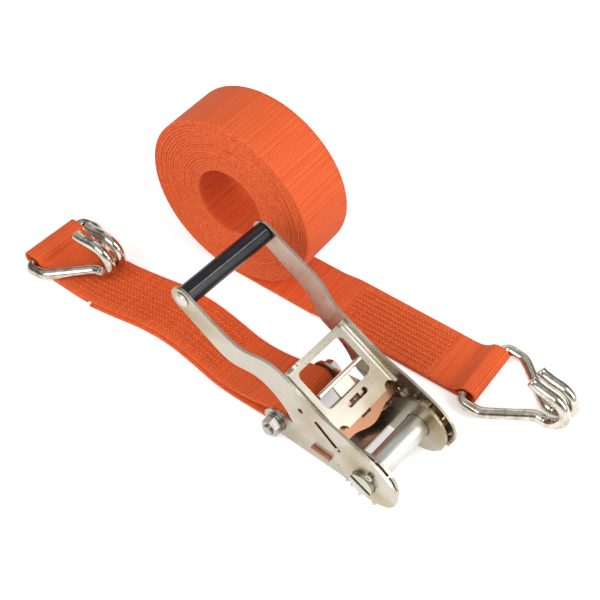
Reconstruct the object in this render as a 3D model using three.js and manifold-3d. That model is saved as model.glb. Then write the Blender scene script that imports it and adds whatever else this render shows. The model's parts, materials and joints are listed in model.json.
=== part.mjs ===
// Ratchet tie down: a hand ratchet on a short strap with a claw hook, and a long rolled strap
// with a second claw hook, laid side by side on one surface.
// Millimetres, +Z up, +X from the short strap towards the spindle, +Y across the ratchet.
import * as THREE from "three";
import { mergeVertices } from "three/addons/utils/BufferGeometryUtils.js";
import Module from "manifold-3d";

// ---- clearances -------------------------------------------------------------------------
const SEAT_GAP = 0.3; // between pieces that touch
const SIDE_GAP = 0.35; // between plates that turn past each other
const TURN_GAP = 0.5; // round a shaft in its hole
const TOOTH_GAP = 0.4; // between a pawl's end and the root of a wheel's teeth

// ---- webbing ----------------------------------------------------------------------------
const STRAP_WIDTH = 50;
const STRAP_THICKNESS = 2.3;
const STRAP_SIDE_GAP = 1.2; // between the strap's edge and each frame plate

// ---- spindle and wheels -----------------------------------------------------------------
const SPINDLE_RADIUS = 9.3;
const SPINDLE_SLOT = 3.4;
const SLOT_ANGLE = THREE.MathUtils.degToRad(22.5); // turn of the slot, about +Y
const SPINDLE_END = 3.7; // how far the halves stand out of the handle
const WHEEL_THICKNESS = 2.8;
const WHEEL_RADIUS = 25.6;
const WHEEL_ROOT = 20.5;
const TOOTH_COUNT = 12;
const SPLIT_PIN_RADIUS = 1.1;
const SPLIT_PIN_EYE = 2; // radius to the middle of the eye's wire
const SPLIT_PIN_LEG = 6;
const SPLIT_PIN_SPREAD = THREE.MathUtils.degToRad(48); // of each leg below the spindle

// ---- frame ------------------------------------------------------------------------------
const FRAME_PLATE = 2.1;
const FRAME_NOSE_RADIUS = 23.5;
const BOLT_DISTANCE = 82; // from the spindle back to the bolt
const BOLT_DROP = 13; // below the spindle
const BOLT_END_RADIUS = 11.5;
const BOLT_RADIUS = 4;
const SLEEVE_RADIUS = 6.5;
const WASHER_RADIUS = 8;
const WASHER_THICKNESS = 1.6;
const HEX_ACROSS_FLATS = 13;
const HEX_THICKNESS = 6.5;
const BRIDGE_DROP = 16; // middle of the cross plate, below the spindle
const BRIDGE_FRONT = 21; // behind the spindle
const BRIDGE_LENGTH = 41;
const BRIDGE_THICKNESS = 2.5;

// ---- pawls ------------------------------------------------------------------------------
const PAWL_TRAVEL = 6;
const FEED_PAWL_THICKNESS = 2.5;
const FEED_PAWL_TILT = THREE.MathUtils.degToRad(7.5); // above the line to the grip
const FEED_PAWL_REAR = 49;
const FEED_PAWL_BULGE = 4.6; // of its front edge, towards the spindle
const FEED_PAWL_BULGE_HALF = 20;
const FINGER_BAR_REACH = 64;
const FINGER_BAR_THICKNESS = 3.2;
const FINGER_BAR_RISE = 4.5;
const FINGER_NECK_WIDTH = 15;
const LOCK_PAWL_THICKNESS = 3;
const LOCK_PAWL_REAR = 52;
const LOCK_EAR_REAR = 44;
const LOCK_EAR_STEP = 28; // where the ears start outside the wheels
const LOCK_EAR_END = 36.7; // from the middle plane
const EAR_GAP = 0.6; // under the handle's side
const SPRING_RADIUS = 2.2; // to the middle of the wire
const SPRING_WIRE_RADIUS = 0.45;
const SPRING_SEAT_GAP = 0.35;
const SPRING_CUT_WIDTH = 9;
const SPRING_TAB = 2;
const SPRING_CUT_SPARE = 1.4; // behind the tab

// ---- handle -----------------------------------------------------------------------------
const HANDLE_PLATE = 2.1;
const HANDLE_LIFT = THREE.MathUtils.degToRad(27.3);
const GRIP_DISTANCE = 171;
const ARM_END_RADIUS = 9.5;
const ARM_INNER_WIDTH = 80; // between the arms at the grip
const FLARE_START = 90;
const FLARE_END = 130;
const WEB_THICKNESS = 2.5;
const WEB_TOP = 11; // above the line from spindle to grip
const WEB_FRONT = 33;
const WEB_REAR = 88.5;
const WEB_NOTCH_RADIUS = 4.6; // at both ends of its front edge
const WEB_FILLET = 4.5;
const TAB_SLOT_LENGTH = 4.6; // opening that the spring's tab is pressed out of
const TAB_SLOT_HALF = 10;
const WINDOW_FRONT = 50;
const WINDOW_REAR = 82.5;
const WINDOW_HALF_WIDTH = 22.8;
const LIP_TOP = 20;
const LIP_HALF_WIDTH = 26;
const GRIP_RADIUS = 7.6;
const GRIP_ROD_RADIUS = 3.6;
const RIVET_RADIUS = 5.6;
const RIVET_HEIGHT = 1.6;
const SIDE_HOLE_RADIUS = 2.2; // small hole in each side, behind the pawl's slot
const SIDE_HOLE_AT = 63;
const SIDE_HOLE_RISE = 1.5;

// ---- hooks ------------------------------------------------------------------------------
const WIRE_RADIUS = 4.3;
const HOOK_SIDE_GAP = 2; // between the strap's edge and the wire
const HOOK_CORNER = 6; // bend at each end of the bar
const HOOK_SHOULDER = 17; // length of the wide part of the wire
const HOOK_NECK = 50; // where the two legs come together
const HOOK_LEG_PITCH = 11.8; // between the two legs
const HOOK_BEND_AT = 55;
const HOOK_BEND_RADIUS = 14.5;
const HOOK_TIP_AT = 38;
const HOOK_TIP_LIFT = 3;

// ---- straps as laid out -------------------------------------------------------------------
const FIXED_LOOP_AT = -336; // middle of the hook's bar in the short strap's end loop
const FIXED_LOOP_SLACK = 6; // room for the hook's bar to lie askew in its loop
const FIXED_FLAP_END = -276; // where the two folded ends of the short strap meet
const FIXED_FLAP_GAP = 5;
const FIXED_HOOK_TILT = THREE.MathUtils.degToRad(7);
const FIXED_HOOK_YAW = THREE.MathUtils.degToRad(5);
const FIXED_JOIN_AT = -150; // where the two layers part on their way to the sleeve
const FIXED_JOIN_STEP = 4; // lower layer parts this much nearer to the sleeve
const FIXED_RISE = 0.42; // slope of the upper end at the sleeve
const FIXED_LOWER_RISE = 0.16; // slope of the lower end at the sleeve
const EYE_WRAP = 0.9; // turn of each end loop past half a circle
const EYE_CLOSE = 22; // from a hook's bar to where its loop has closed
const ROLL_RADIUS = 71.7;
const ROLL_CORE_RADIUS = 28;
const ROLL_AT = new THREE.Vector2(-213, 91); // middle of the roll, in plan
const ROLL_YAW = THREE.MathUtils.degToRad(4);
const TAIL_LENGTH = 216; // from under the roll to the hook's bar
const TAIL_LOOP_SLACK = 3;
const LONG_HOOK_YAW = THREE.MathUtils.degToRad(-3); // askew in its loop
const TAIL_FLAP_START = 100;
const TAIL_RISE = 22; // length over which the tail climbs on to its folded end

// ---- sizes that follow from the ones above --------------------------------------------------
const FRAME_INNER = STRAP_WIDTH / 2 + STRAP_SIDE_GAP;
const FRAME_OUTER = FRAME_INNER + FRAME_PLATE;
const WHEEL_INNER = FRAME_OUTER + SIDE_GAP;
const WHEEL_OUTER = WHEEL_INNER + WHEEL_THICKNESS;
const HANDLE_INNER = WHEEL_OUTER + SIDE_GAP;
const HANDLE_OUTER = HANDLE_INNER + HANDLE_PLATE;
const SPINDLE_HALF_LENGTH = HANDLE_OUTER + SPINDLE_END;
const SPLIT_PIN_AT = HANDLE_OUTER + SPLIT_PIN_RADIUS + 2 * SEAT_GAP;
const SHAFT_HOLE = SPINDLE_RADIUS + TURN_GAP;
const PAWL_TIP = WHEEL_ROOT + 2 * TOOTH_GAP;
const ARM_INNER = ARM_INNER_WIDTH / 2;
const ARM_OUTER = ARM_INNER + HANDLE_PLATE;
const SPINDLE_HEIGHT = WHEEL_RADIUS + TOOTH_GAP;
const LAYER = STRAP_THICKNESS + SEAT_GAP;
const LOOP_RADIUS = SLEEVE_RADIUS + SEAT_GAP + STRAP_THICKNESS / 2; // strap's middle round the bolt
const EYE_RADIUS = WIRE_RADIUS + SEAT_GAP + STRAP_THICKNESS / 2; // strap's middle round a hook's bar
const BAR_HEIGHT = STRAP_THICKNESS / 2 + EYE_RADIUS;
const SPRING_REST_TOP = 46; // spring tab of each pawl, from the spindle
const SPRING_REST_FRONT = 31;

// ---- materials ------------------------------------------------------------------------------
function finish(colour, roughness, metalness) {
  return new THREE.MeshStandardMaterial({ color: colour, roughness, metalness });
}
const zincSteel = finish(0xcdc3af, 0.32, 1);
const brightSteel = finish(0xc9c9c4, 0.25, 1);
const hookSteel = finish(0xb9b6ae, 0.22, 1);
const springSteel = finish(0x8f8f92, 0.35, 1);
const gripPlastic = finish(0x1d1d20, 0.45, 0);
const webbing = finish(0xe8552d, 0.85, 0);

// ---- solids ---------------------------------------------------------------------------------
const wasm = await Module();
wasm.setup();

/** A closed three.js geometry as a manifold solid. */
function solid(geometry) {
  const bare = geometry.index ? geometry.toNonIndexed() : geometry.clone();
  bare.deleteAttribute("normal");
  bare.deleteAttribute("uv");
  const joined = mergeVertices(bare, 1e-4);
  const corners = joined.index.array;
  const faces = [];
  for (let i = 0; i < corners.length; i += 3) {
    const [a, b, c] = corners.slice(i, i + 3);
    if (a !== b && b !== c && c !== a) {
      faces.push(a, b, c);
    }
  }
  return new wasm.Manifold(
    new wasm.Mesh({
      numProp: 3,
      vertProperties: new Float32Array(joined.attributes.position.array),
      triVerts: new Uint32Array(faces),
    }),
  );
}

/** A manifold solid as a three.js geometry. */
function shell(body) {
  const mesh = body.getMesh();
  const geometry = new THREE.BufferGeometry();
  geometry.setAttribute("position", new THREE.BufferAttribute(new Float32Array(mesh.vertProperties), 3));
  geometry.setIndex(new THREE.BufferAttribute(new Uint32Array(mesh.triVerts), 1));
  geometry.computeVertexNormals();
  return geometry;
}

/** Adds solids together. */
function join(...bodies) {
  return bodies.reduce((sum, body) => sum.add(body));
}

/** Takes every cutter out of a solid. */
function cut(body, ...cutters) {
  return cutters.reduce((rest, cutter) => rest.subtract(cutter), body);
}

/** An outline drawn in X and Z, as a plate from y = low to y = high. */
function plate(outline, low, high, curveSegments = 12) {
  const geometry = new THREE.ExtrudeGeometry(outline, {
    depth: high - low,
    bevelEnabled: false,
    curveSegments,
  });
  geometry.rotateX(Math.PI / 2);
  geometry.translate(0, high, 0);
  return geometry;
}

/** An outline drawn in X and Y, as a slab from z = low to z = high. */
function slab(outline, low, high, curveSegments = 12) {
  const geometry = new THREE.ExtrudeGeometry(outline, {
    depth: high - low,
    bevelEnabled: false,
    curveSegments,
  });
  geometry.translate(0, 0, low);
  return geometry;
}

/** A round bar along Y with its middle at x, z. */
function barAlongY(radius, low, high, x = 0, z = 0, sides = 32) {
  const geometry = new THREE.CylinderGeometry(radius, radius, high - low, sides);
  geometry.translate(x, (low + high) / 2, z);
  return geometry;
}

/** A rectangular block from one corner to the other. */
function block(x0, x1, y0, y1, z0, z1) {
  const geometry = new THREE.BoxGeometry(x1 - x0, y1 - y0, z1 - z0);
  geometry.translate((x0 + x1) / 2, (y0 + y1) / 2, (z0 + z1) / 2);
  return geometry;
}

/** A closed outline through corner points. */
function outlineThrough(points) {
  return new THREE.Shape(points.map(([x, y]) => new THREE.Vector2(x, y)));
}

/** A rectangle with round corners. */
function roundedRectangle(x0, x1, y0, y1, radius) {
  const shape = new THREE.Shape();
  shape.moveTo(x0 + radius, y0);
  shape.lineTo(x1 - radius, y0);
  shape.absarc(x1 - radius, y0 + radius, radius, -Math.PI / 2, 0);
  shape.lineTo(x1, y1 - radius);
  shape.absarc(x1 - radius, y1 - radius, radius, 0, Math.PI / 2);
  shape.lineTo(x0 + radius, y1);
  shape.absarc(x0 + radius, y1 - radius, radius, Math.PI / 2, Math.PI);
  shape.lineTo(x0, y0 + radius);
  shape.absarc(x0 + radius, y0 + radius, radius, Math.PI, 1.5 * Math.PI);
  return shape;
}

/** A named sub-part in its group. */
function part(group, name, geometry, material) {
  const mesh = new THREE.Mesh(geometry, material);
  mesh.name = name;
  group.add(mesh);
  return mesh;
}

/** A wire or rod of round section along a curve. */
function wire(curve, radius, steps, sides) {
  const section = new THREE.Shape();
  section.absarc(0, 0, radius, 0, 2 * Math.PI);
  return new THREE.ExtrudeGeometry(section, {
    extrudePath: curve,
    steps,
    curveSegments: sides,
    bevelEnabled: false,
  });
}

// ---- base frame -----------------------------------------------------------------------------
/** Side plate of the frame: a round nose at the spindle and a round end at the bolt. */
function framePlateOutline() {
  const shape = new THREE.Shape();
  const noseTop = THREE.MathUtils.degToRad(152);
  shape.moveTo(0, -FRAME_NOSE_RADIUS);
  shape.absarc(0, 0, FRAME_NOSE_RADIUS, -Math.PI / 2, noseTop);
  shape.quadraticCurveTo(-30, 7, -44, 5.5);
  shape.lineTo(-BOLT_DISTANCE + 6, -BOLT_DROP + BOLT_END_RADIUS);
  shape.lineTo(-BOLT_DISTANCE, -BOLT_DROP + BOLT_END_RADIUS);
  shape.absarc(-BOLT_DISTANCE, -BOLT_DROP, BOLT_END_RADIUS, Math.PI / 2, 1.5 * Math.PI);
  shape.lineTo(-24, -FRAME_NOSE_RADIUS + 1.4);
  shape.quadraticCurveTo(-12, -FRAME_NOSE_RADIUS, 0, -FRAME_NOSE_RADIUS);
  return shape;
}

function baseFrame() {
  const outline = framePlateOutline();
  const near = solid(plate(outline, -FRAME_OUTER, -FRAME_INNER));
  const far = solid(plate(outline, FRAME_INNER, FRAME_OUTER));
  const rear = -BRIDGE_FRONT - BRIDGE_LENGTH;
  const half = BRIDGE_THICKNESS / 2;
  const bridge = solid(
    block(rear, -BRIDGE_FRONT, -FRAME_INNER - 1, FRAME_INNER + 1, -BRIDGE_DROP - half, -BRIDGE_DROP + half),
  );
  const tab = solid(
    block(-SPRING_REST_TOP - SPRING_TAB, -SPRING_REST_TOP, -4, 4, -BRIDGE_DROP, LOCK_PAWL_THICKNESS),
  );
  const slotRear = -LOCK_EAR_REAR - PAWL_TRAVEL - TURN_GAP;
  const slotFront = -LOCK_EAR_STEP + 1.2;
  const slotHalf = LOCK_PAWL_THICKNESS / 2 + SEAT_GAP;
  const slot = roundedRectangle(slotRear, slotFront, -slotHalf, slotHalf, 1);
  const reach = FRAME_OUTER + 1;
  const sides = cut(
    join(near, far),
    solid(barAlongY(SHAFT_HOLE, -reach, reach)),
    solid(barAlongY(BOLT_RADIUS + SEAT_GAP, -reach, reach, -BOLT_DISTANCE, -BOLT_DROP, 24)),
    solid(plate(slot, -reach, reach, 4)),
  );
  return shell(join(sides, bridge, tab));
}

function hexagon(radius) {
  const corners = [];
  for (let i = 0; i < 6; i += 1) {
    const angle = (i * Math.PI) / 3 + Math.PI / 6;
    corners.push([radius * Math.cos(angle), radius * Math.sin(angle)]);
  }
  return outlineThrough(corners);
}

const HEX_CORNER = HEX_ACROSS_FLATS / Math.sqrt(3);
const WASHER_INNER_FACE = FRAME_OUTER + SEAT_GAP;
const HEX_INNER_FACE = WASHER_INNER_FACE + WASHER_THICKNESS + SEAT_GAP;

/** Hexagon of a bolt's head or nut, with its corners turned off on the outer face. */
function hexBody(low, high, outerIsHigh) {
  const prism = solid(plate(hexagon(HEX_CORNER), low, high));
  const outer = HEX_CORNER * 0.9;
  const depth = HEX_CORNER - outer;
  const step = outerIsHigh ? high - depth : low + depth;
  const end = outerIsHigh ? high : low;
  const start = outerIsHigh ? low : high;
  const profile = [
    [0, start],
    [HEX_CORNER + 0.5, start],
    [HEX_CORNER + 0.5, step - (outerIsHigh ? 0.25 : -0.25)],
    [outer, end],
    [0, end],
  ];
  const points = profile.map(([r, y]) => new THREE.Vector2(r, y));
  if (!outerIsHigh) {
    points.reverse();
  }
  const chamfer = solid(new THREE.LatheGeometry(points, 24));
  return prism.intersect(chamfer);
}

function anchorBolt() {
  const threadEnd = -HEX_INNER_FACE - HEX_THICKNESS - 2;
  const shank = solid(barAlongY(BOLT_RADIUS, threadEnd, HEX_INNER_FACE + 1, 0, 0, 24));
  return shell(join(shank, hexBody(HEX_INNER_FACE, HEX_INNER_FACE + HEX_THICKNESS - 1, true)));
}

function anchorNut() {
  const outer = -HEX_INNER_FACE - HEX_THICKNESS;
  const bore = solid(barAlongY(BOLT_RADIUS + SEAT_GAP, outer - 1, -HEX_INNER_FACE + 1, 0, 0, 24));
  return shell(cut(hexBody(outer, -HEX_INNER_FACE, false), bore));
}

/** A flat ring about Y. */
function ring(inner, outer, low, high, segments = 32) {
  const points = [
    [inner, low],
    [outer, low],
    [outer, high],
    [inner, high],
    [inner, low],
  ].map(([r, y]) => new THREE.Vector2(r, y));
  return new THREE.LatheGeometry(points, segments);
}

// ---- spindle ---------------------------------------------------------------------------------
/** Half of a round bar, above or below the slot. */
function halfRound(radius, flat, side) {
  const start = Math.asin(flat / radius);
  const shape = new THREE.Shape();
  if (side > 0) {
    shape.absarc(0, 0, radius, start, Math.PI - start);
  } else {
    shape.absarc(0, 0, radius, Math.PI + start, 2 * Math.PI - start);
  }
  return shape;
}

function spindleHalf(side) {
  const bar = solid(
    plate(halfRound(SPINDLE_RADIUS, SPINDLE_SLOT / 2, side), -SPINDLE_HALF_LENGTH, SPINDLE_HALF_LENGTH, 18),
  );
  const holes = [-1, 1].map((end) => {
    const bore = SPLIT_PIN_RADIUS + SEAT_GAP;
    const hole = new THREE.CylinderGeometry(bore, bore, 3 * SPINDLE_RADIUS, 12);
    hole.rotateX(Math.PI / 2);
    hole.translate(0, end * SPLIT_PIN_AT, 0);
    return solid(hole);
  });
  return shell(cut(bar, ...holes));
}

/** Ratchet wheel with one steep and one sloping side to each tooth. */
function wheelOutline() {
  const degree = Math.PI / 180;
  const pitch = (2 * Math.PI) / TOOTH_COUNT;
  const feedTip = Math.PI - HANDLE_LIFT - FEED_PAWL_TILT;
  const toothAt = feedTip - pitch / 4 + SLOT_ANGLE;
  const corners = [];
  for (let i = 0; i < TOOTH_COUNT; i += 1) {
    const middle = toothAt + i * pitch;
    const polar = [
      [-4.3, WHEEL_ROOT],
      [0, WHEEL_RADIUS],
      [2.4, WHEEL_RADIUS],
      [2.5, WHEEL_ROOT],
      [11, WHEEL_ROOT],
      [18.5, WHEEL_ROOT],
    ];
    for (const [offset, radius] of polar) {
      const angle = middle + offset * degree;
      corners.push([radius * Math.cos(angle), radius * Math.sin(angle)]);
    }
  }
  return outlineThrough(corners);
}

function ratchetWheel(low, high) {
  const outline = wheelOutline();
  for (const side of [-1, 1]) {
    const hole = halfRound(SPINDLE_RADIUS + SEAT_GAP, SPINDLE_SLOT / 2 - SEAT_GAP, side);
    outline.holes.push(new THREE.Path(hole.getPoints(12)));
  }
  return plate(outline, low, high, 12);
}

/** Split pin through both halves: an eye at the top and two bent legs below. */
function splitPin(end) {
  const y = end * SPLIT_PIN_AT;
  const reach = SPINDLE_RADIUS + 1;
  const shank = new THREE.CylinderGeometry(SPLIT_PIN_RADIUS, SPLIT_PIN_RADIUS, 2 * reach, 10);
  shank.rotateX(Math.PI / 2);
  shank.translate(0, y, 0);
  const eye = new THREE.TorusGeometry(SPLIT_PIN_EYE, 0.8 * SPLIT_PIN_RADIUS, 8, 14);
  eye.rotateX(Math.PI / 2);
  eye.translate(0, y, reach + SPLIT_PIN_EYE);
  const legs = [-1, 1].map((side) => {
    const leg = new THREE.CylinderGeometry(0.7 * SPLIT_PIN_RADIUS, 0.8 * SPLIT_PIN_RADIUS, SPLIT_PIN_LEG, 8);
    leg.rotateX(Math.PI / 2);
    leg.translate(0, 0, -0.4 * SPLIT_PIN_LEG);
    leg.rotateY(-side * SPLIT_PIN_SPREAD);
    leg.translate(0, y, -reach + 0.6);
    return solid(leg);
  });
  return shell(join(solid(shank), solid(eye), ...legs));
}

// ---- pawls -----------------------------------------------------------------------------------
/** Coil spring lying along X between a pawl and its tab. */
function coilSpring(front, rear) {
  const turns = 6;
  const length = rear - front - 2 * (SPRING_SEAT_GAP + SPRING_WIRE_RADIUS);
  class Coil extends THREE.Curve {
    getPoint(t, target = new THREE.Vector3()) {
      const angle = 2 * Math.PI * turns * t;
      const x = -front - SPRING_SEAT_GAP - SPRING_WIRE_RADIUS - length * t;
      return target.set(x, SPRING_RADIUS * Math.cos(angle), SPRING_RADIUS * Math.sin(angle));
    }
  }
  return wire(new Coil(), SPRING_WIRE_RADIUS, turns * 9, 3);
}

/** Opening in a pawl for its spring and the tab that the spring presses on. */
function springCut() {
  const half = SPRING_CUT_WIDTH / 2;
  const rear = -SPRING_REST_TOP - SPRING_TAB - SPRING_CUT_SPARE;
  return solid(block(rear, -SPRING_REST_FRONT, -half, half, -5, 5));
}

/** Feed pawl, flat and pointing at the spindle's axis, with its finger bar. */
function feedPawl() {
  const half = FEED_PAWL_THICKNESS / 2;
  const middleFront = WHEEL_RADIUS + 2;
  const bodyHalf = HANDLE_INNER - SEAT_GAP;
  const corners = [
    [-middleFront, -WHEEL_INNER],
    [-PAWL_TIP, -WHEEL_INNER],
    [-PAWL_TIP, -WHEEL_OUTER],
    [-middleFront, -bodyHalf],
    [-FEED_PAWL_REAR + 4, -bodyHalf],
    [-FEED_PAWL_REAR, -bodyHalf + 6],
  ];
  const bulge = [];
  for (let i = 1; i < 16; i += 1) {
    const along = i / 8 - 1;
    const reach = FEED_PAWL_BULGE * (0.5 + 0.5 * Math.cos(Math.PI * along));
    bulge.push([reach - middleFront, -along * FEED_PAWL_BULGE_HALF]);
  }
  const mirrored = corners.map(([x, y]) => [x, -y]);
  const outline = outlineThrough([...corners, ...mirrored.reverse(), ...bulge]);
  const body = solid(slab(outline, -half, half));
  const tongues = [-1, 1].map((side) => {
    const outer = side * (HANDLE_OUTER - 0.9);
    const inner = side * (bodyHalf - 1);
    const rear = -FEED_PAWL_REAR + 5;
    const front = -middleFront - 1;
    return solid(block(rear, front, Math.min(inner, outer), Math.max(inner, outer), -half, half));
  });
  const neckHalf = FINGER_NECK_WIDTH / 2;
  const neck = solid(block(-FINGER_BAR_REACH + 1, -FEED_PAWL_REAR + 1, -neckHalf, neckHalf, -half, half));
  const barShape = roundedRectangle(
    -FINGER_BAR_REACH,
    -FINGER_BAR_REACH + FINGER_BAR_THICKNESS,
    -half,
    FINGER_BAR_RISE,
    1.1,
  );
  const barHalf = WINDOW_HALF_WIDTH - 1;
  const bar = solid(plate(barShape, -barHalf, barHalf, 4));
  return shell(cut(join(body, neck, bar, ...tongues), springCut()));
}

/** Lock pawl: a flat plate with a wavy front edge and an ear through each frame plate. */
function lockPawl() {
  const half = LOCK_PAWL_THICKNESS / 2;
  const inner = FRAME_INNER - SEAT_GAP - 0.4;
  const crossing = FRAME_OUTER + SEAT_GAP;
  const front = LOCK_EAR_STEP;
  const earPoints = [
    [-LOCK_PAWL_REAR, inner],
    [-LOCK_EAR_REAR, inner],
    [-LOCK_EAR_REAR, LOCK_EAR_END],
    [-front, LOCK_EAR_END],
    [-front, HANDLE_INNER - 0.2],
    [-PAWL_TIP, WHEEL_OUTER],
    [-PAWL_TIP, WHEEL_INNER],
    [-front, crossing],
    [-front, inner],
  ];
  const shape = new THREE.Shape();
  shape.moveTo(...earPoints[0]);
  earPoints.slice(1).forEach(([x, y]) => shape.lineTo(x, y));
  shape.lineTo(-front + 2.5, inner);
  shape.bezierCurveTo(-front + 2.5, inner - 10, -front - 5, inner - 12, -front - 4, 0);
  shape.bezierCurveTo(-front - 5, -inner + 12, -front + 2.5, -inner + 10, -front + 2.5, -inner);
  earPoints
    .slice(1)
    .reverse()
    .forEach(([x, y]) => shape.lineTo(x, -y));
  shape.lineTo(-LOCK_PAWL_REAR, -inner);
  const body = solid(slab(shape, -half, half, 8));
  return shell(cut(body, springCut()));
}

// ---- handle ----------------------------------------------------------------------------------
/** A point just above the lock pawl's ears, in the handle's own frame. */
function aboveEar(x) {
  const z = LOCK_PAWL_THICKNESS / 2 + EAR_GAP;
  const [lean, rise] = [Math.cos(HANDLE_LIFT), Math.sin(HANDLE_LIFT)];
  return [x * lean - z * rise, x * rise + z * lean];
}

/** Side of the handle, seen along Y, with the grip towards -X. */
function handleOutline() {
  const shape = new THREE.Shape();
  const end = -GRIP_DISTANCE;
  shape.moveTo(end, ARM_END_RADIUS - 1);
  shape.absarc(end, -1, ARM_END_RADIUS, Math.PI / 2, 1.5 * Math.PI);
  shape.lineTo(-150, -11);
  shape.quadraticCurveTo(-118, -12.5, -96, -10.5);
  shape.quadraticCurveTo(-80, -8.5, -68, -14);
  shape.quadraticCurveTo(-58, -20.5, -50, -20.3);
  shape.lineTo(...aboveEar(-LOCK_EAR_REAR));
  shape.lineTo(...aboveEar(-WHEEL_RADIUS + 1));
  shape.quadraticCurveTo(-16, -11, -10, -12.8);
  shape.quadraticCurveTo(0, -14.5, 9, -13.2);
  shape.quadraticCurveTo(20, -9, 24, 2);
  shape.quadraticCurveTo(27, 14, 17, 21.5);
  shape.quadraticCurveTo(8, 26.5, -4, 25.8);
  shape.quadraticCurveTo(-26, 24.5, -44, 19);
  shape.quadraticCurveTo(-56, 15.8, -76, 16.2);
  shape.quadraticCurveTo(-100, 16, -118, 11.5);
  shape.quadraticCurveTo(-135, 8.5, end, ARM_END_RADIUS - 1);
  return shape;
}

/** Plan of one side: straight beside the wheels, then flaring out to the grip. */
function flareBand(side) {
  const near = new THREE.Path();
  near.moveTo(40, HANDLE_INNER);
  near.lineTo(-FLARE_START, HANDLE_INNER);
  const middle = (FLARE_START + FLARE_END) / 2;
  near.bezierCurveTo(-middle, HANDLE_INNER, -middle, ARM_INNER, -FLARE_END, ARM_INNER);
  near.lineTo(-GRIP_DISTANCE - 20, ARM_INNER);
  const inner = near.getPoints(10).map((p) => [p.x, p.y]);
  const outer = inner.map(([x, y], i) => {
    const before = inner[Math.max(i - 1, 0)];
    const after = inner[Math.min(i + 1, inner.length - 1)];
    const along = new THREE.Vector2(after[0] - before[0], after[1] - before[1]).normalize();
    return [x + HANDLE_PLATE * along.y, y - HANDLE_PLATE * along.x];
  });
  return outlineThrough([...inner, ...outer.reverse()].map(([x, y]) => [x, side * y]));
}

function handleSide(side) {
  const low = Math.min(side * 20, side * 60);
  const face = solid(plate(handleOutline(), low, low + 40, 8));
  const band = solid(slab(flareBand(side), -40, 40));
  return face.intersect(band);
}

/** Web between the sides, curving up into them, with a lip at its rear edge. */
function handleWeb() {
  const bottom = WEB_TOP - WEB_THICKNESS;
  const fillet = WEB_FILLET;
  const edge = HANDLE_INNER + 0.5;
  const section = new THREE.Shape();
  section.moveTo(-edge, bottom);
  section.lineTo(edge, bottom);
  section.lineTo(edge, WEB_TOP + fillet);
  section.lineTo(HANDLE_INNER, WEB_TOP + fillet);
  section.absarc(HANDLE_INNER - fillet, WEB_TOP + fillet, fillet, 0, -Math.PI / 2, true);
  section.lineTo(-HANDLE_INNER + fillet, WEB_TOP);
  section.absarc(-HANDLE_INNER + fillet, WEB_TOP + fillet, fillet, -Math.PI / 2, -Math.PI, true);
  section.lineTo(-edge, WEB_TOP + fillet);
  const length = WEB_REAR - WEB_FRONT;
  const web = new THREE.ExtrudeGeometry(section, { depth: length, bevelEnabled: false, curveSegments: 6 });
  web.rotateX(Math.PI / 2);
  web.rotateZ(Math.PI / 2);
  web.translate(-WEB_REAR, 0, 0);
  const lipShape = roundedRectangle(-LIP_HALF_WIDTH, LIP_HALF_WIDTH, bottom - 8, LIP_TOP, 6);
  const lip = new THREE.ExtrudeGeometry(lipShape, {
    depth: WEB_THICKNESS,
    bevelEnabled: false,
    curveSegments: 6,
  });
  lip.rotateX(Math.PI / 2);
  lip.rotateZ(Math.PI / 2);
  lip.translate(-WEB_REAR, 0, 0);
  const belowWeb = solid(block(-WEB_REAR - 5, -WEB_REAR + 10, -40, 40, -30, bottom));
  return join(solid(web), cut(solid(lip), belowWeb));
}

/** Slot in both sides in which the feed pawl's tongues slide. */
function pawlSlot() {
  const half = FEED_PAWL_THICKNESS / 2 + 2 * SEAT_GAP;
  const slot = roundedRectangle(-FEED_PAWL_REAR - 3, -WHEEL_RADIUS, -half, half, 1.2);
  const cutter = plate(slot, -HANDLE_OUTER - 1, HANDLE_OUTER + 1, 4);
  cutter.rotateY(FEED_PAWL_TILT);
  return solid(cutter);
}

function handleFrame() {
  const bottom = WEB_TOP - WEB_THICKNESS;
  const window = roundedRectangle(
    -WINDOW_REAR,
    -WINDOW_FRONT,
    -WINDOW_HALF_WIDTH,
    WINDOW_HALF_WIDTH,
    4.5,
  );
  const slotFront = -SPRING_REST_TOP + TAB_SLOT_LENGTH;
  const tabSlot = roundedRectangle(-SPRING_REST_TOP, slotFront, -TAB_SLOT_HALF, TAB_SLOT_HALF, 2.2);
  const notches = [-1, 1].map((side) => {
    const notch = new THREE.CylinderGeometry(WEB_NOTCH_RADIUS, WEB_NOTCH_RADIUS, 20, 20);
    notch.rotateX(Math.PI / 2);
    notch.translate(-WEB_FRONT, side * (HANDLE_INNER - 7), WEB_TOP);
    return solid(notch);
  });
  const tab = solid(
    block(-SPRING_REST_TOP - SPRING_TAB, -SPRING_REST_TOP, -3.6, 3.6, 2.2, bottom + 1),
  );
  const web = cut(
    handleWeb(),
    solid(slab(window, 0, 16)),
    solid(slab(tabSlot, 0, 16, 6)),
    ...notches,
  );
  const reach = ARM_OUTER + 1;
  const sides = cut(
    join(handleSide(-1), handleSide(1)),
    solid(barAlongY(SHAFT_HOLE, -reach, reach)),
    solid(barAlongY(GRIP_ROD_RADIUS + SEAT_GAP, -reach, reach, -GRIP_DISTANCE, 0, 20)),
    solid(barAlongY(SIDE_HOLE_RADIUS, -reach, reach, -SIDE_HOLE_AT, SIDE_HOLE_RISE, 14)),
    pawlSlot(),
  );
  return shell(join(sides, web, tab));
}

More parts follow.
